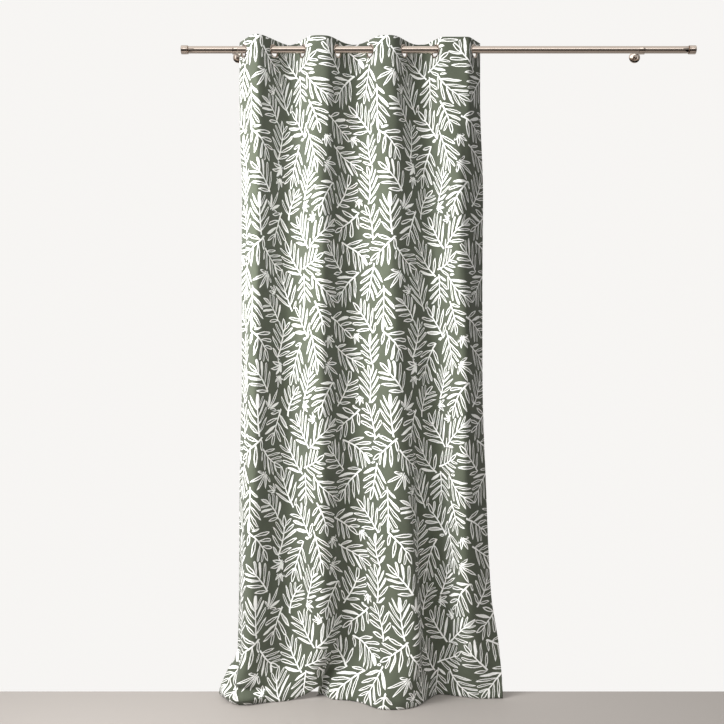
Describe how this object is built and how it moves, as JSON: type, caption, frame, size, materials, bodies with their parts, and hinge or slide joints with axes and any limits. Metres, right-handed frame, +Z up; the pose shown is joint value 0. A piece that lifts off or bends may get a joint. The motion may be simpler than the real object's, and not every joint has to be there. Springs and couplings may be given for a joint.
{
  "type": "light filtering curtain on a curtain rod",
  "caption": "Light filtering eyelet curtain in leaf-printed cloth, hanging in soft folds to the floor from a round metal rod with plain end caps on open wall brackets.",
  "frame": {"origin": "the middle of the left bracket's plate, on the wall and level with the rod's axis", "axes": "+Z up, +Y into the wall, so the room is towards -Y, and +X along the rod, to the right as seen from the room"},
  "size_m": [2, 0.2107, 2.5696],
  "materials": {
    "printed_cloth": "plain-woven cotton blend, sage green with an off-white leaf print, matt",
    "eyelet_metal": "satin nickel with a warm tone",
    "rod_metal": "satin nickel with a warm tone, fine lengthwise brushing",
    "cap_metal": "satin nickel with a warm tone, turned",
    "bracket_metal": "satin nickel with a warm tone, cast and plated"
  },
  "bodies": {
    "root": {"curtain_panel": "printed_cloth", "eyelet_1": "eyelet_metal", "eyelet_2": "eyelet_metal", "eyelet_3": "eyelet_metal", "eyelet_4": "eyelet_metal", "eyelet_5": "eyelet_metal", "eyelet_6": "eyelet_metal", "eyelet_7": "eyelet_metal", "eyelet_8": "eyelet_metal", "rod": "rod_metal", "end_cap_left": "cap_metal", "end_cap_right": "cap_metal", "bracket_left": "bracket_metal", "bracket_right": "bracket_metal"}
  },
  "joints": []
}
